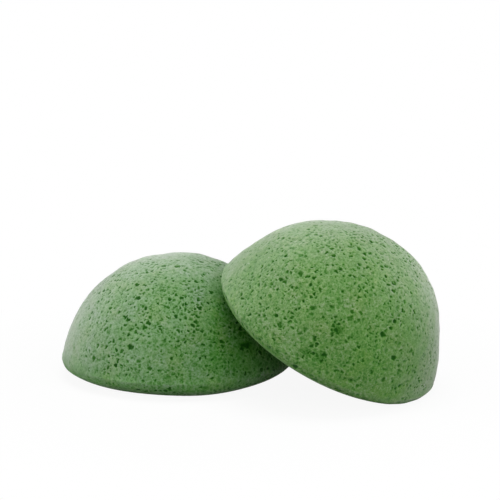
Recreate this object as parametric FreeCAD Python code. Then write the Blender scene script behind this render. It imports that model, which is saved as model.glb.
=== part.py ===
"""Two half-ball konjac sponges: one lies on its flat face, the other leans against it.

Millimetres, +Z up. The origin is the centre of the lying sponge's flat face, and +X runs
from the lying sponge towards the leaning one, so the pair is symmetrical about the XZ plane.
"""

import FreeCAD, Part
import math
import os

# Driving dimensions of one sponge: both come out of the same mould.
sponge_diameter = 80.0  # across the widest circle, which is at the rim
sponge_height = 41.2  # from the flat face to the crown
rim_height = 6.0  # from the flat face up to the widest circle
rim_round = 3.5  # radius of the rounded rim
underside_angle = 36.0  # slope, in degrees, at which the underside curves into the rim
flank_lean = 13.2  # inward lean of the flank just above the rim, in degrees
crown_fullness = 0.94  # weight of the dome's conic: 0.7 is near an ellipse, more is squarer

# How the pair stands.
lean_angle = 29.5  # between the leaning sponge's flat face and the floor, in degrees
contact_gap = 0.3  # room left between the two soft bodies where they touch
gap_tolerance = 0.001  # how closely the leaning sponge is set against the lying one

sponge_radius = sponge_diameter / 2
underside_slope = math.radians(underside_angle)
flank_slope = math.radians(90 + flank_lean)
underside_radius = (rim_height - rim_round * math.cos(underside_slope)) / (1 - math.cos(underside_slope))
flat_radius = (
    sponge_radius - rim_round * (1 - math.sin(underside_slope)) - underside_radius * math.sin(underside_slope)
)
underside_centre = FreeCAD.Vector(flat_radius, 0, underside_radius)
rim_centre = FreeCAD.Vector(sponge_radius - rim_round, 0, rim_height)
crown = FreeCAD.Vector(0, 0, sponge_height)


def arc_point(centre, radius, slope):
    """The point of a profile arc where the profile's tangent has this slope, in radians."""
    return centre + FreeCAD.Vector(math.sin(slope), 0, -math.cos(slope)) * radius


def profile_arc(centre, radius, start_slope, end_slope):
    """The stretch of a round between two slopes of the profile's tangent, as an edge."""
    slopes = (start_slope, (start_slope + end_slope) / 2, end_slope)
    return Part.Arc(*[arc_point(centre, radius, slope) for slope in slopes]).toShape()


def dome_curve():
    """The dome from the rim to the crown: one conic that leaves the rim along the flank's lean."""
    flank_foot = arc_point(rim_centre, rim_round, flank_slope)
    shoulder_in = (sponge_height - flank_foot.z) * math.tan(math.radians(flank_lean))
    shoulder = FreeCAD.Vector(flank_foot.x - shoulder_in, 0, sponge_height)
    dome = Part.BezierCurve()
    dome.setPoles([flank_foot, shoulder, crown])
    dome.setWeight(2, crown_fullness)
    return dome.toShape()


def half_outline():
    """The sponge's outline on the +X side, from the flat face's edge round the rim to the crown."""
    underside = profile_arc(underside_centre, underside_radius, 0, underside_slope)
    rim = profile_arc(rim_centre, rim_round, underside_slope, flank_slope)
    return [underside, rim, dome_curve()]


def sponge_solid():
    """One moulded sponge, flat face down, turned from its half outline."""
    centre = FreeCAD.Vector(0, 0, 0)
    flat_edge = arc_point(underside_centre, underside_radius, 0)
    flat_face = Part.LineSegment(centre, flat_edge).toShape()
    axis = Part.LineSegment(crown, centre).toShape()
    section = Part.Face(Part.Wire([flat_face, *half_outline(), axis]))
    return section.revolve(centre, FreeCAD.Vector(0, 0, 1), 360)


def full_outline():
    """The sponge's curved outline in the XZ plane, both sides, for setting the pair together."""
    right = Part.Wire(half_outline())
    left = right.mirror(FreeCAD.Vector(0, 0, 0), FreeCAD.Vector(1, 0, 0))
    return Part.makeCompound([right, left])


def foot_height():
    """How far the leaning sponge's lowest point lies below the centre of its flat face."""
    slope = math.radians(lean_angle)
    on_underside = lean_angle < underside_angle
    foot = (
        arc_point(underside_centre, underside_radius, slope)
        if on_underside
        else arc_point(rim_centre, rim_round, slope)
    )
    return foot.x * math.sin(slope) - foot.z * math.cos(slope)


def leaning_placement(reach):
    """Where the leaning sponge stands: tilted over +X, its foot on the floor, reach from the origin."""
    tilt = FreeCAD.Rotation(FreeCAD.Vector(0, 1, 0), lean_angle)
    return FreeCAD.Placement(FreeCAD.Vector(reach, 0, foot_height()), tilt)


def gap_at(reach):
    """The room between the two outlines with the leaning sponge at this reach."""
    leaning = full_outline()
    leaning.Placement = leaning_placement(reach)
    return full_outline().distToShape(leaning)[0]


def leaning_reach():
    """The reach at which the leaning sponge comes to rest against the lying one."""
    near = sponge_radius / 2
    far = 2 * sponge_diameter
    while far - near > gap_tolerance:
        middle = (near + far) / 2
        if gap_at(middle) > contact_gap:
            far = middle
        else:
            near = middle
    return far


def build():
    """Writes one STEP file for each sponge."""
    os.makedirs("parts", exist_ok=True)
    reach = leaning_reach()
    lying_sponge = sponge_solid()
    leaning_sponge = sponge_solid()
    leaning_sponge.Placement = leaning_placement(reach)
    lying_sponge.exportStep("parts/lying_sponge.step")
    leaning_sponge.exportStep("parts/leaning_sponge.step")
    gap = lying_sponge.distToShape(leaning_sponge)[0]
    print(f"flat face {2 * flat_radius:.1f} across, {sponge_solid().Volume / 1000:.1f} ml each")
    print(f"leaning sponge at x {reach:.2f}, its flat face's centre {foot_height():.2f} up, gap {gap:.2f}")


build()
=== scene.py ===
"""Two half-ball konjac sponges of porous green foam, dressed and lit as in a studio.

Each sponge is a fine closed skin over the mould's shape. The foam's unevenness and its open cells are
worked into the skin itself, and a foam finish colours it by how deep each spot lies in a cell: darker
deeper in, partly the foam's own green and partly painted shade. Its walls' edges get a painted highlight,
and shade is painted at its bottom and under the other sponge.
Metres, +Z up, in the part's own frame.
"""

import logging
import math
from dataclasses import dataclass
from enum import Enum
from typing import ClassVar

import bpy
import numpy as np
from mathutils import Matrix, Vector
from mathutils.kdtree import KDTree

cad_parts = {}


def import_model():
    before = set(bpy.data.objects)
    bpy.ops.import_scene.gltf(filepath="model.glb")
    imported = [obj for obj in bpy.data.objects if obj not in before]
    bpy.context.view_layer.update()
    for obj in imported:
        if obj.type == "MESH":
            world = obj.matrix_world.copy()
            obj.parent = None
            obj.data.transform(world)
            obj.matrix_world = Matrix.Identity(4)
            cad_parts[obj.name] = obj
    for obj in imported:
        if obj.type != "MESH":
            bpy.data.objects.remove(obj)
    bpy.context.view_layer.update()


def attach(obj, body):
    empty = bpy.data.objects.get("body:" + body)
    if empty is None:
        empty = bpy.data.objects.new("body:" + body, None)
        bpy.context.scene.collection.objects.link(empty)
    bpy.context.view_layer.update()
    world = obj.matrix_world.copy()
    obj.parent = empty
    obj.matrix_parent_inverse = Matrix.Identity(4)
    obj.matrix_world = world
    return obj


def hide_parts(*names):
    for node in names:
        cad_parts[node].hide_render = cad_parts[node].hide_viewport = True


LOG = logging.getLogger("konjac_sponge")
PORE_LAYER = "pore"
RIDGE_LAYER = "ridge"
PLACE_LAYER = "place"
SPOT_LAYER = "spot"
# Painted shade: where the foam is darkened and its bloom taken away, at the bottom, in patches and between
# the sponges.
PAINTED_SHADE_LAYER = "damp"
CALM_LAYER = "calm"
BAKE_MAP = "OFBake"
MM = 0.001

Colour = tuple[float, float, float]
Place = tuple[float, float, float]


def srgb(red: int, green: int, blue: int) -> Colour:
    """A colour as a screen shows it, turned into the linear numbers that shaders take.

    Args:
        red: from 0 to 255.
        green: from 0 to 255.
        blue: from 0 to 255.

    Returns:
        The three linear numbers, from 0 to 1.
    """

    def linear(step: int) -> float:
        """One channel, by the sRGB curve."""
        level = step / 255
        return level / 12.92 if level <= 0.04045 else ((level + 0.055) / 1.055) ** 2.4

    return linear(red), linear(green), linear(blue)


def unit(vectors: np.ndarray) -> np.ndarray:
    """Rows of vectors, each brought to length 1."""
    return vectors / np.linalg.norm(vectors, axis=-1, keepdims=True)


def bearing(turn: float, elevation: float) -> Vector:
    """A direction out from the part.

    Args:
        turn: from the front (-Y) towards +X, in radians.
        elevation: above the table, in radians.

    Returns:
        The direction, of length 1.
    """
    level = math.cos(elevation)
    return Vector((math.sin(turn) * level, -math.cos(turn) * level, math.sin(elevation)))


def ease(low: float, high: float, values: np.ndarray) -> np.ndarray:
    """0 below low, 1 above high, and a smooth rise between them."""
    share = np.clip((values - low) / (high - low), 0, 1)
    return share * share * (3 - 2 * share)


@dataclass(frozen=True)
class Mould:
    """The half-ball mould that both sponges come out of.

    Attributes:
        radius: of the widest circle, which is at the rim.
        height: from the flat face to the crown.
        rim_height: from the flat face up to the widest circle.
        rim_round: radius of the rounded rim.
        underside_slope: at which the underside curves into the rim, in radians.
        flank_lean: inward lean of the flank just above the rim, in radians.
        crown_fullness: weight of the dome's conic.
        outline_steps: how many points the turned outline has.
    """

    radius: float = 40.0 * MM
    height: float = 41.2 * MM
    rim_height: float = 6.0 * MM
    rim_round: float = 3.5 * MM
    underside_slope: float = math.radians(36.0)
    flank_lean: float = math.radians(13.2)
    crown_fullness: float = 0.94
    outline_steps: int = 3000

    def outline(self) -> np.ndarray:
        """The turned outline, from the crown round the rim to the middle of the flat face.

        Returns:
            Evenly spaced points, each its distance from the axis and its height.
        """
        slope_cos = math.cos(self.underside_slope)
        slope_sin = math.sin(self.underside_slope)
        under_round = (self.rim_height - self.rim_round * slope_cos) / (1 - slope_cos)
        flat_radius = self.radius - self.rim_round * (1 - slope_sin) - under_round * slope_sin
        rim_centre = np.array([self.radius - self.rim_round, self.rim_height])
        under_centre = np.array([flat_radius, under_round])
        steps = np.linspace(0, 1, self.outline_steps)

        def arc(centre: np.ndarray, radius: float, start: float, end: float) -> np.ndarray:
            """A round between two slopes of the outline's tangent."""
            slopes = start + (end - start) * steps
            return centre + radius * np.stack([np.sin(slopes), -np.cos(slopes)], 1)

        rim = arc(rim_centre, self.rim_round, math.pi / 2 + self.flank_lean, self.underside_slope)
        underside = arc(under_centre, under_round, self.underside_slope, 0)
        shoulder_in = (self.height - rim[0, 1]) * math.tan(self.flank_lean)
        shoulder = np.array([rim[0, 0] - shoulder_in, self.height])
        crown = np.array([0, self.height])
        weights = np.stack(
            [(1 - steps) ** 2, 2 * self.crown_fullness * steps * (1 - steps), steps**2], 1
        )
        dome = weights @ np.stack([crown, shoulder, rim[0]]) / weights.sum(1, keepdims=True)
        path = np.concatenate([dome, rim[1:], underside[1:], [[0, 0]]])
        along = np.concatenate([[0], np.cumsum(np.linalg.norm(np.diff(path, axis=0), axis=1))])
        even = np.linspace(0, along[-1], self.outline_steps)
        return np.stack([np.interp(even, along, path[:, 0]), np.interp(even, along, path[:, 1])], 1)


class Shell:
    """The mould's surface as places: a share of its area, from the crown on, and a turn about its axis."""

    def __init__(self, mould: Mould) -> None:
        """Measures the surface.

        Args:
            mould: whose surface this is.
        """
        self.outline = mould.outline()
        steps = np.diff(self.outline, axis=0)
        lengths = np.linalg.norm(steps, axis=1)
        widths = (self.outline[1:, 0] + self.outline[:-1, 0]) / 2
        areas = 2 * math.pi * widths * lengths
        self.area = float(areas.sum())
        self.shares = np.concatenate([[0], np.cumsum(areas)]) / self.area
        tangents = np.gradient(self.outline, axis=0)
        self.facing = unit(np.stack([-tangents[:, 1], tangents[:, 0]], 1))
        widest = int(self.outline[:, 0].argmax())
        self.rim_share = float(self.shares[widest])

    def place(self, share: np.ndarray, turn: np.ndarray) -> tuple[np.ndarray, np.ndarray]:
        """Points of the surface.

        Args:
            share: of the area, from 0 at the crown to 1 at the middle of the flat face.
            turn: about the axis, in radians.

        Returns:
            The points, and the directions that the surface faces there.
        """
        across = np.stack([np.cos(turn), np.sin(turn)], 1)

        def turned(pairs: np.ndarray) -> np.ndarray:
            """Reads pairs along the outline at each share, and turns them about the axis.

            Args:
                pairs: what there is outwards and upwards, for each point of the outline.

            Returns:
                The same in three directions.
            """
            out = np.interp(share, self.shares, pairs[:, 0])
            up = np.interp(share, self.shares, pairs[:, 1])
            return np.concatenate([across * out[:, None], up[:, None]], 1)

        return turned(self.outline), unit(turned(self.facing))


@dataclass(frozen=True)
class Unevenness:
    """A gentle random swell of the skin, made of plane waves.

    Attributes:
        height: the swell's usual height.
        wavelength: from one crest to the next.
        waves: how many waves are added up.
    """

    height: float
    wavelength: float
    waves: int = 28

    def at(self, points: np.ndarray, rng: np.random.Generator) -> np.ndarray:
        """The swell at each point.

        Args:
            points: of the skin.
            rng: where the waves' directions, lengths and phases come from.

        Returns:
            Heights, as often above zero as below it.
        """
        ways = unit(rng.normal(size=(self.waves, 3)))
        pace = 2 * math.pi / (self.wavelength * rng.uniform(0.7, 1.5, self.waves))
        phases = rng.uniform(0, 2 * math.pi, self.waves)
        waves = np.cos(points @ (ways * pace[:, None]).T + phases)
        return waves.sum(1) * self.height * math.sqrt(2 / self.waves)


@dataclass(frozen=True)
class Patch:
    """A round patch of a sponge's skin that differs from the rest, most of all in its middle.

    Attributes:
        middle: in the mould's frame.
        reach: from the middle to where little of it is left.
        amount: what it adds in the middle.
    """

    middle: Place
    reach: float
    amount: float

    @classmethod
    def mm(cls, x: float, y: float, z: float, reach: float, amount: float) -> "Patch":
        """A patch whose middle and reach are given in millimetres."""
        return cls((x * MM, y * MM, z * MM), reach * MM, amount)

    def at(self, points: np.ndarray) -> np.ndarray:
        """What the patch adds at each point."""
        away = np.linalg.norm(points - np.array(self.middle), axis=1)
        return self.amount * np.exp(-((away / self.reach) ** 2))


class PoreSize(Enum):
    """The sizes of open cell that the foam's skin shows."""

    COARSE = "coarse"
    MIDDLE = "middle"
    FINE = "fine"


@dataclass(frozen=True)
class PoreKind:
    """What the open cells of one size are like.

    Attributes:
        per_area: how many are tried on a square metre of skin.
        least: radius of the smallest.
        most: radius of the largest.
        depth: of the deepest, as a share of its radius.
    """

    per_area: float
    least: float
    most: float
    depth: float


FOAM_CELLS: dict[PoreSize, PoreKind] = {
    PoreSize.COARSE: PoreKind(0.012e6, 0.85 * MM, 1.15 * MM, 0.36),
    PoreSize.MIDDLE: PoreKind(3.0e6, 0.48 * MM, 0.80 * MM, 0.48),
    PoreSize.FINE: PoreKind(3.0e6, 0.28 * MM, 0.45 * MM, 0.46),
}


@dataclass
class Pores:
    """The open cells of one sponge's skin, one row for each.

    Attributes:
        centres: where they open.
        inward: the way each runs into the foam, not quite square to the skin.
        radii: of the mouths.
        depths: from the skin to the cell's floor.
        rim_quiet: how far above and below the rim the cells are shallower.
        rim_loss: share of its depth that a cell lacks at the rim itself.
        lean: how far a cell may run from square to the skin.
        shallowest: depth of the shallowest cells, as a share of their kind's depth.
        depth_rarity: how much rarer deep cells are than shallow ones.
        size_rarity: how much rarer the large cells of a kind are than its small ones.
        drift: slow change of the depths from place to place.
        drift_limits: the least and the most that it leaves of a depth.
        box_width: of the boxes that close cells are looked up in, in radii of the largest cell.
    """

    centres: np.ndarray
    inward: np.ndarray
    radii: np.ndarray
    depths: np.ndarray
    rim_quiet: ClassVar[float] = 2.0 * MM
    rim_loss: ClassVar[float] = 0.35
    lean: ClassVar[float] = 0.35
    shallowest: ClassVar[float] = 0.12
    depth_rarity: ClassVar[float] = 1.2
    size_rarity: ClassVar[float] = 1.6
    drift: ClassVar[Unevenness] = Unevenness(0.15, 14 * MM)
    drift_limits: ClassVar[tuple[float, float]] = (0.5, 1.5)
    box_width: ClassVar[float] = 2.1

    @classmethod
    def scattered(cls, shell: Shell, rim_height: float, rng: np.random.Generator) -> "Pores":
        """Scatters cells over a surface, the coarse ones first and the finer ones between them.

        Args:
            shell: the surface.
            rim_height: where the skin is smoother, with shallower cells.
            rng: where the places and sizes come from.

        Returns:
            The cells.
        """
        kept: list[tuple[np.ndarray, np.ndarray, float, float]] = []
        taken: dict[tuple[int, int, int], list[int]] = {}
        box = cls.box_width * max(kind.most for kind in FOAM_CELLS.values())
        for kind in FOAM_CELLS.values():
            tries = int(kind.per_area * shell.area)
            points, facing = shell.place(rng.uniform(0, 1, tries), rng.uniform(0, 2 * math.pi, tries))
            size = kind.least + (kind.most - kind.least) * rng.uniform(0, 1, tries) ** cls.size_rarity
            openness = cls.shallowest + rng.uniform(0, 1, tries) ** cls.depth_rarity
            for index in range(tries):
                spot = points[index]
                home = tuple(int(c) for c in np.floor(spot / box))
                close = [
                    other
                    for dx in (-1, 0, 1)
                    for dy in (-1, 0, 1)
                    for dz in (-1, 0, 1)
                    for other in taken.get((home[0] + dx, home[1] + dy, home[2] + dz), ())
                ]
                if any(math.dist(spot, kept[other][0]) < size[index] + kept[other][2] for other in close):
                    continue
                taken.setdefault(home, []).append(len(kept))
                depth = size[index] * kind.depth * openness[index]
                kept.append((spot, facing[index], float(size[index]), float(depth)))
        centres = np.array([row[0] for row in kept])
        facing = np.array([row[1] for row in kept])
        depths = np.array([row[3] for row in kept])
        near_rim = np.exp(-(((centres[:, 2] - rim_height) / cls.rim_quiet) ** 2))
        depths *= np.clip(1 + cls.drift.at(centres, rng), *cls.drift_limits)
        return cls(
            centres=centres,
            inward=unit(-facing + cls.lean * rng.uniform(-1, 1, facing.shape)),
            radii=np.array([row[2] for row in kept]),
            depths=depths * (1 - cls.rim_loss * near_rim),
        )


def cube_net(cells: int) -> tuple[np.ndarray, np.ndarray]:
    """A closed net of four-sided meshes over a unit ball, laid out on the six sides of a cube.

    Args:
        cells: along each of the cube's edges.

    Returns:
        The net's points, and the four points of each mesh, in order as seen from outside.
    """
    steps = np.arange(cells + 1)
    first, second = (grid.ravel() for grid in np.meshgrid(steps, steps, indexing="ij"))
    corners = np.arange((cells + 1) ** 2).reshape(cells + 1, cells + 1)
    square = np.stack(
        [corners[:-1, :-1], corners[1:, :-1], corners[1:, 1:], corners[:-1, 1:]], -1
    ).reshape(-1, 4)
    spots, meshes = [], []
    for axis in range(3):
        for side in (0, cells):
            spot = np.empty((len(first), 3), int)
            spot[:, axis] = side
            spot[:, (axis + 1) % 3] = first
            spot[:, (axis + 2) % 3] = second
            meshes.append((square if side else square[:, ::-1]) + len(spots) * len(first))
            spots.append(spot)
    lattice, back = np.unique(np.concatenate(spots), axis=0, return_inverse=True)
    points = unit(np.tan((2 * lattice / cells - 1) * math.pi / 4))
    return points, back.reshape(-1)[np.concatenate(meshes)]


class Skin:
    """A sponge's skin: a fine closed net whose points are swelled out and pressed in.

    Attributes:
        mouth: how far from a cell's middle points are looked for, in radii of the cell.
        floor: how far its floor reaches, in radii.
        edge: where it ends, in radii.
        wall: how much further off the next cell is where the wall between them has gone, in radii.
        ridge_place: where the wall's thin edge stands up, in radii.
        ridge_width: of that edge, in radii.
        deepest: depth at which a spot counts as wholly inside a cell.
        raggedness: of the cells' edges.
        relief: how many times deeper the cells are made while the net is thinned.
    """

    mouth: ClassVar[float] = 2.2
    floor: ClassVar[float] = 0.35
    edge: ClassVar[float] = 1.25
    wall: ClassVar[float] = 0.85
    ridge_place: ClassVar[float] = 1.1
    ridge_width: ClassVar[float] = 0.22
    deepest: ClassVar[float] = 0.35 * MM
    raggedness: ClassVar[Unevenness] = Unevenness(0.2 * MM, 1.6 * MM)
    relief: ClassVar[float] = 3.0

    def __init__(self, shell: Shell, cells: int) -> None:
        """Lays the net over the mould's surface.

        Args:
            shell: the surface.
            cells: along each of the six sides that the net is laid out on.
        """
        directions, self.meshes = cube_net(cells)
        self.shares = (1 - directions[:, 2]) / 2
        self.turns = np.arctan2(directions[:, 1], directions[:, 0])
        self.smooth, self.facing = shell.place(self.shares, self.turns)
        self.points = self.smooth.copy()
        self.pore = np.zeros(len(self.points))
        self.ridge = np.zeros(len(self.points))
        # How much painted shade each point gets.
        self.damp = np.zeros(len(self.points))
        self.calm = np.zeros(len(self.points))

    def swell(self, heights: np.ndarray) -> None:
        """Moves each point out by its height."""
        self.points += self.facing * heights[:, None]

    def sink(self, shares: np.ndarray) -> None:
        """Sinks each point by a share of the deepest cell's depth, and counts it as so deep in a cell.

        Args:
            shares: from 0 to 1.
        """
        self.swell(-shares * self.deepest)
        self.pore = np.minimum(self.pore + shares, 1)

    def press(self, pores: Pores, rng: np.random.Generator) -> None:
        """Opens the cells. A point sinks into the cell that it is nearest to, and walls stay between cells.

        Args:
            pores: the cells.
            rng: where the cells' ragged edges come from.
        """
        bent = self.smooth + np.stack([self.raggedness.at(self.smooth, rng) for _ in range(3)], 1)
        tree = KDTree(len(bent))
        for index, point in enumerate(bent):
            tree.insert(point, index)
        tree.balance()
        found = [
            [hit[1] for hit in tree.find_range(centre, radius * self.mouth)]
            for centre, radius in zip(pores.centres, pores.radii)
        ]
        which = np.repeat(np.arange(len(found)), [len(hits) for hits in found])
        at = np.concatenate([np.array(hits, int) for hits in found])
        ratio = np.linalg.norm(bent[at] - pores.centres[which], axis=1) / pores.radii[which]
        order = np.lexsort((ratio, at))
        at, which, ratio = at[order], which[order], ratio[order]
        first = np.flatnonzero(np.diff(at, prepend=-1))
        after = np.minimum(first + 1, len(at) - 1)
        spot, cell, nearest = at[first], which[first], ratio[first]
        second = np.where(at[after] == spot, ratio[after], self.mouth)
        sunk = ease(0, self.wall, second - nearest) * (1 - ease(self.floor, self.edge, nearest))
        depth = pores.depths[cell] * sunk
        self.points[spot] += pores.inward[cell] * depth[:, None]
        # The finish paints deeper points darker, partly as shade, and the thin edges lighter, as a
        # highlight.
        self.pore[spot] = np.minimum(depth / self.deepest, 1)
        sharpness = np.minimum(pores.depths[cell] / self.deepest, 1)
        across = (nearest - self.ridge_place) / self.ridge_width
        self.ridge[spot] = np.exp(-(across**2)) * sharpness

    def mesh(self, name: str) -> bpy.types.Mesh:
        """The skin as a mesh, with how deep each point lies in a cell and where it lies on the mould.

        The mesh stands in relief: its cells are deeper than they are, so that thinning keeps their points.
        Each point carries its true spot.

        Args:
            name: of the mesh.

        Returns:
            The new mesh.
        """
        mesh = bpy.data.meshes.new(name)
        mesh.from_pydata(self.smooth + (self.points - self.smooth) * self.relief, [], self.meshes)
        values_of = {
            PORE_LAYER: self.pore,
            RIDGE_LAYER: self.ridge,
            PAINTED_SHADE_LAYER: self.damp,
            CALM_LAYER: self.calm,
        }
        for layer_name, values in values_of.items():
            layer = mesh.attributes.new(layer_name, "FLOAT", "POINT")
            layer.data.foreach_set("value", values.astype(np.float32))
        place = np.stack([self.shares, np.cos(self.turns), np.sin(self.turns)], 1)
        for layer_name, rows in ((PLACE_LAYER, place), (SPOT_LAYER, self.points)):
            layer = mesh.attributes.new(layer_name, "FLOAT_VECTOR", "POINT")
            layer.data.foreach_set("vector", rows.astype(np.float32).ravel())
        return mesh


class Shade:
    """A shader socket that takes part in Python arithmetic. Each operation adds a Math node."""

    def __init__(self, bench: "Bench", socket: bpy.types.NodeSocket | None) -> None:
        """Wraps a socket.

        Args:
            bench: where new nodes go.
            socket: an output, or nothing for a node that has none.
        """
        self.bench = bench
        self.socket = socket

    def _math(self, operation: str, first: "Shade | float", second: "Shade | float") -> "Shade":
        """One Math node.

        Args:
            operation: its name.
            first: the first value.
            second: the second value.

        Returns:
            The result.
        """
        return self.bench.node("ShaderNodeMath", {"operation": operation}, {0: first, 1: second})

    def __add__(self, other: "Shade | float") -> "Shade":
        """self + other."""
        return self._math("ADD", self, other)

    def __radd__(self, other: float) -> "Shade":
        """other + self."""
        return self._math("ADD", other, self)

    def __sub__(self, other: "Shade | float") -> "Shade":
        """self - other."""
        return self._math("SUBTRACT", self, other)

    def __rsub__(self, other: float) -> "Shade":
        """other - self."""
        return self._math("SUBTRACT", other, self)

    def __mul__(self, other: "Shade | float") -> "Shade":
        """self * other."""
        return self._math("MULTIPLY", self, other)

    def __rmul__(self, other: float) -> "Shade":
        """other * self."""
        return self._math("MULTIPLY", other, self)

    def __or__(self, other: "Shade | float") -> "Shade":
        """The larger of the two."""
        return self._math("MAXIMUM", self, other)


class Bench:
    """Where one material's nodes are put together."""

    def __init__(self, tree: bpy.types.NodeTree) -> None:
        """Clears a tree for new nodes.

        Args:
            tree: of a material or a world.
        """
        self.tree = tree
        tree.nodes.clear()

    def node(
        self,
        kind: str,
        settings: dict[str, object],
        sockets: dict[str | int, object],
        output: str | int = 0,
    ) -> Shade:
        """Adds a node.

        Args:
            kind: the node's type.
            settings: its own settings, set first; "stops" are a ramp's places and colours.
            sockets: values or links for its inputs, by identifier, name or number.
            output: which of its outputs is wanted.

        Returns:
            That output.
        """
        node = self.tree.nodes.new(kind)
        for name, value in settings.items():
            if name == "stops":
                self._set_stops(node.color_ramp, value)
            else:
                setattr(node, name, value)
        for name, value in sockets.items():
            socket = self._find(node.inputs, name)
            if isinstance(value, Shade):
                self.tree.links.new(value.socket, socket)
            else:
                socket.default_value = value
        return Shade(self, self._find(node.outputs, output)) if node.outputs else Shade(self, None)

    @staticmethod
    def _set_stops(ramp: bpy.types.ColorRamp, stops: list[tuple[float, float | Colour]]) -> None:
        """Gives a ramp its stops.

        Args:
            ramp: with the two stops that a new one has.
            stops: a place and a grey level or a colour each.
        """
        while len(ramp.elements) < len(stops):
            ramp.elements.new(1.0)
        for element, (place, level) in zip(ramp.elements, stops):
            element.position = place
            element.color = (*(level if isinstance(level, tuple) else (level,) * 3), 1)

    @staticmethod
    def _find(sockets: bpy.types.bpy_prop_collection, name: str | int) -> bpy.types.NodeSocket:
        """Looks a socket up.

        Args:
            sockets: of one node.
            name: the socket's number, identifier or name.

        Returns:
            The socket.
        """
        if isinstance(name, int):
            return sockets[name]
        return next((s for s in sockets if s.identifier == name), None) or sockets[name]

    def tint(self, factor: Shade, colour: Shade, tint: Colour) -> Shade:
        """A colour with its three channels raised or lowered.

        Args:
            factor: 0 to leave it as it is, 1 for the whole tint.
            colour: the colour.
            tint: what each channel is multiplied by.

        Returns:
            The tinted colour.
        """
        return self.node(
            "ShaderNodeMix",
            {"data_type": "RGBA", "blend_type": "MULTIPLY"},
            {"Factor_Float": factor, "A_Color": colour, "B_Color": (*tint, 1)},
            "Result_Color",
        )

    def ramp(self, value: Shade, stops: list[tuple[float, float | Colour]]) -> Shade:
        """A value read through a ramp.

        Args:
            value: from 0 to 1.
            stops: a place and a level or a colour each.

        Returns:
            The level or the colour at that value.
        """
        return self.node("ShaderNodeValToRGB", {"stops": stops}, {"Fac": value}, "Color")


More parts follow.
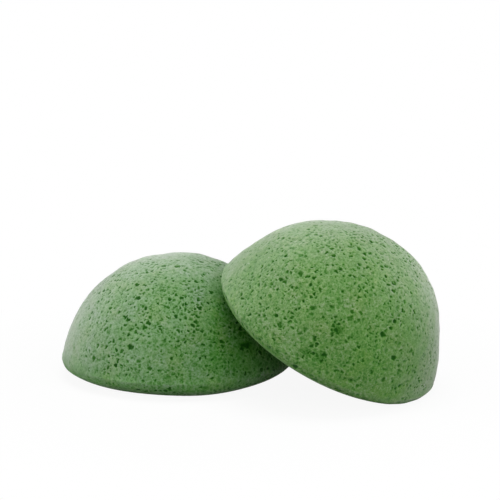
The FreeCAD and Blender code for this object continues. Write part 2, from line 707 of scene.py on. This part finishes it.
@dataclass(frozen=True)
class FoamFinish:
    """Damp green konjac foam: pale walls with painted highlights on their thin edges, deep green cells
    darkened partly by painted shade, and a soft white bloom over the whole, taken out where shade is
    painted.

    Attributes:
        ridge: of the walls' thin edges, where they stand up between the cells, and of the rim's lip: pale,
            a painted highlight.
        wall: of the foam between the cells.
        shaded: of spots partway down into the cells, darker: the foam's deeper green and painted shade.
        cell: of the cells' floors, darkest: the foam's deeper green and painted shade.
        greyed: what patches that are drier are tinted by.
        yellowed: what patches where the plant powder is thicker are tinted by.
        shade_tint: what painted shade tints the foam by, darker and greener.
        small_cells: how many small cells lie along a metre.
        grains: how many grains of the fibres lie along a metre.
        mottles: how many darker and lighter spots do.
        dry_patches: how many drier patches do.
        yellow_patches: how many patches with more plant powder do.
        strays: how many turns of the small cells' ragged edges do.
        bloom: how strong the white bloom of the foam's fine fibres is.
        bloom_spread: how far the bloom reaches in from the edges.
        shaded_bloom: how strong the bloom is where shade is painted.
        cell_shade: how much of the bloom painted shade takes out of the cells.
        warmth: how much of the yellow tint the whole sponge has.
        cell_tone: how much darker the deepest cells' floors are than the walls, partly painted shade.
        wall_tone: of the foam between the cells, from 0 for their thin edges to 1 for their floors.
        ridge_highlight: how much lighter the thin edges are: a painted highlight.
        mottle_share: how much the darker and lighter spots change the tone.
        grain_share: how much the fibres' grain changes it.
        small_cell_share: how much darker the small cells are.
        small_wall_share: how much lighter the walls between the small cells are.
        calm_loss: share of this fine texture that calm skin lacks.
        raggedness: how far the small cells' edges stray.
        light_reach: how far light spreads inside the foam.
        roughness: of the foam's gloss.
        grain_roughness: how much rougher it is on the grains.
    """

    ridge: Colour = srgb(132, 166, 119)
    wall: Colour = srgb(96, 148, 75)
    shaded: Colour = srgb(62, 124, 36)
    cell: Colour = srgb(24, 82, 9)
    greyed: Colour = (1.25, 1.03, 1.58)
    yellowed: Colour = (1.1, 1.0, 0.55)
    shade_tint: Colour = (0.82, 1.0, 0.72)
    small_cells: float = 950
    grains: float = 2200
    mottles: float = 800
    dry_patches: float = 130
    yellow_patches: float = 110
    strays: float = 900
    bloom: float = 1.0
    bloom_spread: float = 0.6
    shaded_bloom: float = 0.06
    cell_shade: float = 0.95
    warmth: float = 0.0
    cell_tone: float = 0.9
    wall_tone: float = 0.24
    ridge_highlight: float = 0.12
    mottle_share: float = 0.24
    grain_share: float = 0.24
    small_cell_share: float = 0.2
    small_wall_share: float = 0.06
    calm_loss: float = 0.35
    raggedness: float = 0.6 * MM
    light_reach: float = 0.32 * MM
    roughness: float = 0.75
    grain_roughness: float = 0.15

    def material(self, name: str) -> bpy.types.Material:
        """The finish as a material.

        Args:
            name: of the material.

        Returns:
            The new material.
        """
        material = bpy.data.materials.new(name)
        material.use_nodes = True
        bench = Bench(material.node_tree)
        where = bench.node("ShaderNodeTexCoord", {}, {}, "Object")

        def layer(carried: str) -> Shade:
            """A value that the skin carries."""
            return bench.node("ShaderNodeAttribute", {"attribute_name": carried}, {}, "Fac")

        def noise(scale: float, detail: float, output: str = "Fac") -> Shade:
            """Soft noise with so many patches to the metre."""
            return bench.node(
                "ShaderNodeTexNoise",
                {"noise_dimensions": "3D"},
                {"Vector": where, "Scale": scale, "Detail": detail, "Roughness": 0.55},
                output,
            )

        ragged = bench.node(
            "ShaderNodeVectorMath",
            {"operation": "MULTIPLY_ADD"},
            {0: noise(self.strays, 1, "Color"), 1: (self.raggedness,) * 3, 2: where},
            "Vector",
        )

        def small(feature: str, output: str) -> Shade:
            """The small cells between the open ones."""
            return bench.node(
                "ShaderNodeTexVoronoi",
                {"feature": feature},
                {"Vector": ragged, "Scale": self.small_cells},
                output,
            )

        grain = bench.ramp(noise(self.grains, 1), [(0.3, 0), (0.7, 1)])
        mottle = bench.ramp(noise(self.mottles, 2), [(0.34, 0), (0.66, 1)])
        dryness = bench.ramp(noise(self.dry_patches, 3), [(0.44, 0), (0.68, 1)])
        most_tinge = (1 + self.warmth) / 2
        tinge = bench.ramp(noise(self.yellow_patches, 3), [(0.48, self.warmth), (0.68, most_tinge)])
        open_small = bench.ramp(small("DISTANCE_TO_EDGE", "Distance"), [(0.03, 0), (0.30, 1)])
        shade_small = bench.ramp(small("F1", "Color"), [(0.25, 0), (0.85, 1)])
        fine = (mottle - 0.5) * self.mottle_share + open_small * shade_small * self.small_cell_share
        fine = fine - (1 - open_small) * self.small_wall_share + (grain - 0.5) * self.grain_share
        # Deeper in a cell the colour darkens, partly the foam's own deeper green and partly painted shade;
        # the thin edges and the lip get a painted highlight.
        tone = self.wall_tone + layer(PORE_LAYER) * self.cell_tone - layer(RIDGE_LAYER) * self.ridge_highlight
        tone = tone + fine * (1 - layer(CALM_LAYER) * self.calm_loss)
        colour = bench.ramp(
            tone, [(0, self.ridge), (self.wall_tone, self.wall), (0.5, self.shaded), (0.95, self.cell)]
        )
        colour = bench.tint(dryness, colour, self.greyed)
        colour = bench.tint(tinge, colour, self.yellowed)
        # Painted shade darkens and greens the foam at the bottom, in patches and between the sponges.
        colour = bench.tint(layer(PAINTED_SHADE_LAYER), colour, self.shade_tint)
        relief = grain * 0.5 - open_small * 0.5
        normal = bench.node(
            "ShaderNodeBump", {}, {"Strength": 0.05, "Distance": 0.2 * MM, "Height": relief}, "Normal"
        )
        rough = self.roughness + grain * self.grain_roughness

        def foam(bloom: float) -> Shade:
            """The foam's shader, with so strong a bloom."""
            return bench.node(
                "ShaderNodeBsdfPrincipled",
                {},
                {
                    "Base Color": colour,
                    "Roughness": rough,
                    "Normal": normal,
                    "IOR": 1.4,
                    "Specular IOR Level": 0.03,
                    "Subsurface Weight": 0.6,
                    "Subsurface Radius": (1.0, 1.6, 0.7),
                    "Subsurface Scale": self.light_reach,
                    "Sheen Weight": bloom,
                    "Sheen Roughness": self.bloom_spread,
                    "Sheen Tint": (1, 1, 1, 1),
                },
                "BSDF",
            )

        # The bloom is taken out of the cells and where shade is painted: painted shade.
        damp = bench.ramp(tone, [(0.25, 0), (0.7, self.cell_shade)]) | layer(PAINTED_SHADE_LAYER)
        skin = bench.node(
            "ShaderNodeMixShader", {}, {0: damp, 1: foam(self.bloom), 2: foam(self.shaded_bloom)}, "Shader"
        )
        bench.node("ShaderNodeOutputMaterial", {}, {"Surface": skin})
        return material


@dataclass
class Sponge:
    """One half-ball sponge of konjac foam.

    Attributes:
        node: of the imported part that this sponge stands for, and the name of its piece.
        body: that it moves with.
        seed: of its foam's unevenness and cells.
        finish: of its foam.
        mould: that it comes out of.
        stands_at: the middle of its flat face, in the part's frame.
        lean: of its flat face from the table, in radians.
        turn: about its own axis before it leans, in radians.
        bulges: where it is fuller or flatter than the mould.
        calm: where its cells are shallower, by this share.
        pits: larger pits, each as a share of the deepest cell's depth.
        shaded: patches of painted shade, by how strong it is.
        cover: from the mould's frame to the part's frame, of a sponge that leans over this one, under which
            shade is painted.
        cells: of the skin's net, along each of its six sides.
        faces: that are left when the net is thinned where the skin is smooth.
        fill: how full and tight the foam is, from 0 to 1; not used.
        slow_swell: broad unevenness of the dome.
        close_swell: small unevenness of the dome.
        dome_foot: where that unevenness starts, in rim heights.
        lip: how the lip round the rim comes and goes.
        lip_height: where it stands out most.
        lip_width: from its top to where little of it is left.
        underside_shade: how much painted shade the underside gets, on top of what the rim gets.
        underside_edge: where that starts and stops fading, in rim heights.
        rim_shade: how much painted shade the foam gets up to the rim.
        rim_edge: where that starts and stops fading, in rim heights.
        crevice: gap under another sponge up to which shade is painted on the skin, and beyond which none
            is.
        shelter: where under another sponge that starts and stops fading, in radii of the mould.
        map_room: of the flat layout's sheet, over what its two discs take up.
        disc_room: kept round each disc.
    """

    node: str
    body: str
    seed: int
    finish: FoamFinish
    mould: Mould = Mould()
    stands_at: Place = (0.0, 0.0, 0.0)
    lean: float = 0.0
    turn: float = 0.0
    bulges: tuple[Patch, ...] = ()
    calm: tuple[Patch, ...] = ()
    pits: tuple[Patch, ...] = ()
    shaded: tuple[Patch, ...] = ()
    cover: Matrix | None = None
    cells: int = 210
    faces: int = 190_000
    fill: float = 0.9
    slow_swell: ClassVar[Unevenness] = Unevenness(0.16 * MM, 22 * MM)
    close_swell: ClassVar[Unevenness] = Unevenness(0.05 * MM, 5 * MM)
    dome_foot: ClassVar[float] = 0.2
    lip: ClassVar[Unevenness] = Unevenness(0.5, 30 * MM)
    lip_height: ClassVar[float] = 0.2 * MM
    lip_width: ClassVar[float] = 0.5 * MM
    underside_shade: ClassVar[float] = 0.5
    underside_edge: ClassVar[tuple[float, float]] = (0.6, 1.1)
    rim_shade: ClassVar[float] = 0.4
    rim_edge: ClassVar[tuple[float, float]] = (1.0, 1.9)
    crevice: ClassVar[tuple[float, float]] = (11 * MM, 30 * MM)
    shelter: ClassVar[tuple[float, float]] = (0.86, 1.1)
    map_room: ClassVar[float] = 1.03
    disc_room: ClassVar[float] = 1.02

    @property
    def placement(self) -> Matrix:
        """From the mould's frame to the part's frame."""
        leaning = Matrix.Translation(self.stands_at) @ Matrix.Rotation(self.lean, 4, "Y")
        return leaning @ Matrix.Rotation(self.turn, 4, "Z")

    def build(self) -> bpy.types.Object:
        """Makes the sponge's piece, in its place.

        Returns:
            The piece, with no finish yet.
        """
        rng = np.random.default_rng(self.seed)
        shell = Shell(self.mould)
        skin = Skin(shell, self.cells)
        pores = Pores.scattered(shell, self.mould.rim_height, rng)
        pores.depths *= 1 - self.calmness(pores.centres)
        skin.press(pores, rng)
        for pit in self.pits:
            skin.sink(pit.at(skin.smooth))
        dome = ease(self.dome_foot * self.mould.rim_height, self.mould.rim_height, skin.smooth[:, 2])
        for unevenness in (self.slow_swell, self.close_swell):
            skin.swell(unevenness.at(skin.smooth, rng) * dome)
        for patch in self.bulges:
            skin.swell(patch.at(skin.smooth))
        self.raise_lip(skin, rng)
        # Painted shade at the bottom, in listed patches and under the other sponge.
        skin.damp = self.painted_shade_at(skin.smooth)
        skin.calm = self.calmness(skin.smooth)
        LOG.info("%s: %d cells opened on %d points", self.node, len(pores.radii), len(skin.points))
        piece = bpy.data.objects.new(self.node + "_foam", skin.mesh(self.node + "_foam"))
        bpy.context.scene.collection.objects.link(piece)
        self.thin(piece)
        piece.data.transform(self.placement)
        self.settle(piece.data)
        self.unwrap(piece.data, shell)
        piece.data.shade_smooth()
        return piece

    def calmness(self, points: np.ndarray) -> np.ndarray:
        """How much shallower and plainer the foam's texture is at each point, from 0 to 1."""
        return 1 - np.prod([1 - patch.at(points) for patch in self.calm], axis=0)

    def raise_lip(self, skin: Skin, rng: np.random.Generator) -> None:
        """Leaves the thin lip that the mould's two halves press up round the rim, here more and there less.

        Args:
            skin: of this sponge.
            rng: where the lip's unevenness comes from.
        """
        height = skin.smooth[:, 2]
        across = np.exp(-(((height - self.mould.rim_height) / self.lip_width) ** 2))
        strength = across * np.clip(0.5 + self.lip.at(skin.smooth, rng), 0, 1)
        skin.swell(strength * self.lip_height)
        # The lip gets the walls' painted highlight.
        skin.ridge = np.maximum(skin.ridge, strength)

    def painted_shade_at(self, points: np.ndarray) -> np.ndarray:
        """Painted shade, which darkens the foam and takes its bloom away: on the underside, in listed
        patches, and close under another sponge.

        Args:
            points: of the smooth skin, in the mould's frame.

        Returns:
            From 0 where no shade is painted to 1 where the most is.
        """
        height = points[:, 2] / self.mould.rim_height
        damp = self.underside_shade * (1 - ease(*self.underside_edge, height))
        damp = damp + self.rim_shade * (1 - ease(*self.rim_edge, height))
        for patch in self.shaded:
            damp = np.maximum(damp, patch.at(points))
        if self.cover:
            back = np.array(self.cover.inverted() @ self.placement)
            beside = points @ back[:3, :3].T + back[:3, 3]
            out = np.linalg.norm(beside[:, :2], axis=1) / self.mould.radius
            near = 1 - ease(*self.crevice, -beside[:, 2])
            damp = np.maximum(damp, near * (1 - ease(*self.shelter, out)))
        return damp

    @staticmethod
    def settle(mesh: bpy.types.Mesh) -> None:
        """Presses flat on the table what would reach below it.

        Args:
            mesh: the sponge's, in the part's frame.
        """
        spots = np.empty(len(mesh.vertices) * 3, np.float32)
        mesh.vertices.foreach_get("co", spots)
        spots[2::3] = np.maximum(spots[2::3], 0)
        mesh.vertices.foreach_set("co", spots)

    def thin(self, piece: bpy.types.Object) -> None:
        """Takes faces out where the skin is smooth, so that the cells keep theirs.

        Args:
            piece: whose mesh is replaced by the thinned one.
        """
        modifier = piece.modifiers.new("thin", "DECIMATE")
        modifier.ratio = self.faces / (2 * len(piece.data.polygons))
        graph = bpy.context.evaluated_depsgraph_get()
        full = piece.data
        thinned = bpy.data.meshes.new_from_object(
            piece.evaluated_get(graph), preserve_all_data_layers=True, depsgraph=graph
        )
        piece.modifiers.clear()
        piece.data = thinned
        bpy.data.meshes.remove(full)
        thinned.name = piece.name
        spots = thinned.attributes[SPOT_LAYER]
        true_spots = np.empty(len(thinned.vertices) * 3, np.float32)
        spots.data.foreach_get("vector", true_spots)
        thinned.vertices.foreach_set("co", true_spots)
        thinned.attributes.remove(spots)

    def unwrap(self, mesh: bpy.types.Mesh, shell: Shell) -> None:
        """Lays the skin out flat as two discs, the dome and the underside, for maps that hold its finish.

        Args:
            mesh: the sponge's, with its places on the mould.
            shell: the mould's surface.
        """
        place = np.empty(len(mesh.vertices) * 3, np.float32)
        mesh.attributes[PLACE_LAYER].data.foreach_get("vector", place)
        place = place.reshape(-1, 3)
        corner = np.empty(len(mesh.loops), np.int32)
        mesh.loops.foreach_get("vertex_index", corner)
        starts = np.empty(len(mesh.polygons), np.int32)
        mesh.polygons.foreach_get("loop_start", starts)
        totals = np.empty(len(mesh.polygons), np.int32)
        mesh.polygons.foreach_get("loop_total", totals)
        share = place[corner, 0]
        mean = np.add.reduceat(share, starts) / totals
        on_dome = np.repeat(mean < shell.rim_share, totals)
        dome_radius = math.sqrt(shell.rim_share)
        under_radius = math.sqrt(1 - shell.rim_share)
        side = (dome_radius + under_radius) * (1 + math.sqrt(0.5)) * self.map_room
        out = np.where(on_dome, np.sqrt(share), np.sqrt(np.maximum(1 - share, 0))) / side
        dome_middle = dome_radius / side * self.disc_room
        under_middle = 1 - under_radius / side * self.disc_room
        middle = np.where(on_dome, dome_middle, under_middle)
        turn = unit(place[corner, 1:])
        uv = middle[:, None] + out[:, None] * turn
        layer = mesh.uv_layers.new(name=BAKE_MAP)
        layer.data.foreach_set("uv", uv.astype(np.float32).ravel())
        mesh.attributes.remove(mesh.attributes[PLACE_LAYER])

    def dress(self, piece: bpy.types.Object) -> None:
        """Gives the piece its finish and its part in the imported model.

        Args:
            piece: the sponge.
        """
        piece.data.materials.append(self.finish.material("damp_foam_" + self.body))
        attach(piece, self.body)
        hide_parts(self.node)


@dataclass
class LyingSponge(Sponge):
    """The sponge that lies on its flat face, in the middle of the part's frame."""

    node: str = "lying_sponge"
    body: str = "lying"
    seed: int = 11
    finish: FoamFinish = FoamFinish()
    bulges: tuple[Patch, ...] = (
        Patch.mm(-24.0, -1.0, 33.5, 13, -0.60 * MM),
        Patch.mm(-36.0, -8.0, 18.0, 12, -0.35 * MM),
        Patch.mm(25.0, -28.0, 5.0, 14, 0.60 * MM),
    )
    calm: tuple[Patch, ...] = (
        Patch.mm(-6.0, 5.0, 40.7, 19, 0.88),
        Patch.mm(-33.0, -22.0, 13.0, 22, 0.96),
    )
    pits: tuple[Patch, ...] = (
        Patch.mm(33.4, -15.6, 16.5, 1.1, 1.0),
        Patch.mm(32.6, -17.4, 16.8, 0.9, 0.9),
    )


@dataclass
class LeaningSponge(Sponge):
    """The sponge that leans on the lying one, with its low rim on the table."""

    node: str = "leaning_sponge"
    body: str = "leaning"
    seed: int = 29
    finish: FoamFinish = FoamFinish(wall=srgb(93, 146, 66), warmth=0.44, cell_tone=0.78, bloom=0.88)
    stands_at: Place = (53.84 * MM, 0.0, 16.34 * MM)
    lean: float = math.radians(29.5)
    turn: float = math.radians(140)
    bulges: tuple[Patch, ...] = (
        Patch.mm(1.0, -17.5, 37.5, 11, 0.75 * MM),
        Patch.mm(25.0, 9.5, 31.0, 11, -0.75 * MM),
        Patch.mm(-23.0, -26.0, 20.0, 11, -0.45 * MM),
        Patch.mm(25.0, 31.0, 6.6, 8, 0.2 * MM),
        Patch.mm(13.0, 3.0, 39.0, 9, -0.45 * MM),
    )
    calm: tuple[Patch, ...] = (
        Patch.mm(26.0, 10.0, 31.0, 21, 0.88),
        Patch.mm(22.0, 32.0, 13.0, 14, 0.7),
        Patch.mm(-20.0, -24.0, 27.0, 17, 0.72),
    )
    pits: tuple[Patch, ...] = (
        Patch.mm(-29.1, 18.9, 21.0, 1.5, 0.65),
        Patch.mm(-29.3, 25.6, 10.6, 1.7, 0.4),
        Patch.mm(-32.2, 21.6, 11.2, 1.6, 0.45),
    )
    # Patches of painted shade at the low end and at the left end.
    shaded: tuple[Patch, ...] = (
        Patch.mm(-38.0, -1.0, 10.0, 25, 0.56),
        Patch.mm(5.0, 38.0, 13.0, 14, 0.36),
    )


@dataclass(frozen=True)
class Softbox:
    """A square lamp with a soft cloth front, one metre from the sponges.

    Attributes:
        name: of the lamp.
        bearing: from the camera's side round to the right, in degrees.
        elevation: above the table, in degrees.
        power: in watts.
        width: of its front.
    """

    name: str
    bearing: float
    elevation: float
    power: float
    width: float = 0.7

    def hang(self, aim: Vector, camera_bearing: float) -> None:
        """Makes the lamp and turns it to a point.

        Args:
            aim: the point.
            camera_bearing: of the camera, in radians.
        """
        lamp = bpy.data.lights.new(self.name, "AREA")
        lamp.shape = "SQUARE"
        lamp.size = self.width
        lamp.energy = self.power
        holder = bpy.data.objects.new(self.name + "_softbox", lamp)
        towards = bearing(camera_bearing + math.radians(self.bearing), math.radians(self.elevation))
        holder.location = aim + towards
        holder.rotation_euler = (-towards).to_track_quat("-Z", "Y").to_euler()
        bpy.context.scene.collection.objects.link(holder)


@dataclass(frozen=True)
class Studio:
    """A white table under soft light, and the camera.

    Attributes:
        azimuth: of the camera, from the front towards +X, in radians.
        elevation: of the camera above the table, in radians.
        distance: from the camera to what it looks at.
        lens: focal length in millimetres, on a sensor of 36 mm.
        aim: what the camera looks at.
        lit: what the lamps are turned to.
        table_size: along each side.
        table_white: how pale the table looks where the sponges' shadow falls.
        table_bounce: how pale it is to the light that it throws back at the sponges.
        glow: share of the table's look beside the sponges that is plain white and takes no shadow.
        shadow_reach: how far from the sponges that share starts to grow, and where the table is all white.
        ambient: strength of the light from all round.
        lamps: the softboxes.
    """

    azimuth: float = math.radians(23.71)
    elevation: float = math.radians(12.44)
    distance: float = 1.0
    lens: float = 209.7
    aim: Place = (23.04 * MM, 10.12 * MM, 43.07 * MM)
    lit: Place = (25.0 * MM, 0.0, 20.0 * MM)
    table_size: float = 8.0
    table_white: float = 0.95
    table_bounce: float = 0.27
    glow: float = 0.92
    shadow_reach: tuple[float, float] = (0.06, 0.13)
    ambient: float = 0.02
    lamps: tuple[Softbox, ...] = (
        Softbox("top", 0, 90, 6.3),
        Softbox("left", 272, 9, 6.1),
        Softbox("front_right", 48, 28, 2.6),
        Softbox("front", 8, 20, 3.1),
        Softbox("right_low", 55, 8, 1.0),
        Softbox("right_back", 140, 28, 0.8),
    )

    def build(self) -> None:
        """Sets the table, hangs the lamps and stands the camera."""
        self.lay_table()
        self.light()
        self.stand_camera()

    def lay_table(self) -> None:
        """Makes the table, which looks white and keeps the sponges' shadow."""
        half = self.table_size / 2
        mesh = bpy.data.meshes.new("table")
        mesh.from_pydata(
            [(-half, -half, 0), (half, -half, 0), (half, half, 0), (-half, half, 0)], [], [(0, 1, 2, 3)]
        )
        table = bpy.data.objects.new("table", mesh)
        bpy.context.scene.collection.objects.link(table)
        material = bpy.data.materials.new("table_white")
        material.use_nodes = True
        bench = Bench(material.node_tree)
        seen = self.seen(bench)
        bounce, matte = (
            bench.node("ShaderNodeBsdfDiffuse", {}, {"Color": (level, level, level, 1)}, "BSDF")
            for level in (self.table_bounce, self.table_white)
        )
        white = bench.node("ShaderNodeEmission", {}, {"Color": (1, 1, 1, 1), "Strength": 1}, "Emission")
        away = bench.node(
            "ShaderNodeVectorMath",
            {"operation": "DISTANCE"},
            {0: bench.node("ShaderNodeTexCoord", {}, {}, "Object"), 1: self.lit},
            "Value",
        )
        glow = bench.ramp(away, [(self.shadow_reach[0], self.glow), (self.shadow_reach[1], 1)])
        look = bench.node("ShaderNodeMixShader", {}, {0: glow, 1: matte, 2: white}, "Shader")
        both = bench.node("ShaderNodeMixShader", {}, {0: seen, 1: bounce, 2: look}, "Shader")
        bench.node("ShaderNodeOutputMaterial", {}, {"Surface": both})
        mesh.materials.append(material)

    @staticmethod
    def seen(bench: Bench) -> Shade:
        """Tells what is seen from what only lights.

        Args:
            bench: where the nodes go.

        Returns:
            1 for what the camera sees, itself or in a gloss or through glass, and 0 for light.
        """
        path = "ShaderNodeLightPath"
        camera = bench.node(path, {}, {}, "Is Camera Ray")
        gloss = bench.node(path, {}, {}, "Is Glossy Ray")
        glass = bench.node(path, {}, {}, "Is Transmission Ray")
        return camera | gloss | glass

    def light(self) -> None:
        """Hangs the softboxes and sets the light from all round."""
        for lamp in self.lamps:
            lamp.hang(Vector(self.lit), self.azimuth)
        world = bpy.data.worlds.new("studio")
        world.use_nodes = True
        bench = Bench(world.node_tree)
        strength = self.ambient + self.seen(bench) * (1 - self.ambient)
        sky = bench.node("ShaderNodeBackground", {}, {"Color": (1, 1, 1, 1), "Strength": strength})
        bench.node("ShaderNodeOutputWorld", {}, {"Surface": sky})
        bpy.context.scene.world = world
        bpy.context.scene.view_settings.view_transform = "Standard"

    def stand_camera(self) -> None:
        """Makes the camera, at the angle that the sponges are seen from."""
        lens = bpy.data.cameras.new("camera")
        lens.lens = self.lens
        camera = bpy.data.objects.new("camera", lens)
        back = bearing(self.azimuth, self.elevation)
        camera.location = Vector(self.aim) + back * self.distance
        camera.rotation_euler = (-back).to_track_quat("-Z", "Y").to_euler()
        bpy.context.scene.collection.objects.link(camera)
        bpy.context.scene.camera = camera


def main() -> None:
    """Builds the pair of sponges and the studio round them."""
    logging.basicConfig(level=logging.INFO, format="%(name)s: %(message)s")
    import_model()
    leaning = LeaningSponge()
    # The leaning sponge's place tells where shade is painted under it.
    lying = LyingSponge(cover=leaning.placement)
    for sponge in (lying, leaning):
        piece = sponge.build()
        sponge.dress(piece)
        LOG.info("%s: %d faces", piece.name, len(piece.data.polygons))
    Studio().build()


if __name__ == "__main__":
    main()
